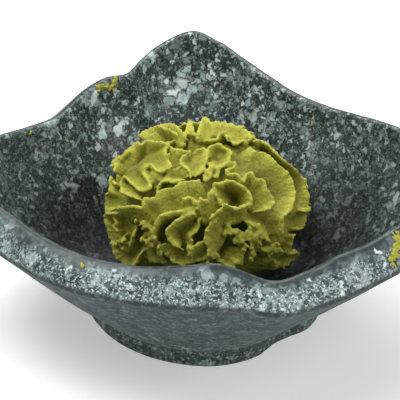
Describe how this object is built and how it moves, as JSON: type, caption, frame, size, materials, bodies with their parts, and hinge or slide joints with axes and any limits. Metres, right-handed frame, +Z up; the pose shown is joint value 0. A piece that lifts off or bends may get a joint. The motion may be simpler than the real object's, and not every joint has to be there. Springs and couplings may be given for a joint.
{
  "type": "dish of wasabi paste",
  "caption": "Small dark speckled stone-look sauce dish with a wavy rim, holding a ruffled mound of wasabi paste.",
  "frame": {"origin": "middle of the foot's flat underside, on the surface that the dish stands on", "axes": "+Z up; -Y towards the viewer in the picture; +X to the viewer's right, across the dish's longest width"},
  "size_m": [0.1128, 0.1043, 0.043],
  "materials": {
    "speckled_stone": "glossy dark grey-green stone look with white and pale turquoise flecks",
    "wasabi": "moist matte yellow-green paste with a fine grain"
  },
  "bodies": {
    "root": {"dish": "speckled_stone", "wasabi_paste": "wasabi"}
  },
  "joints": []
}
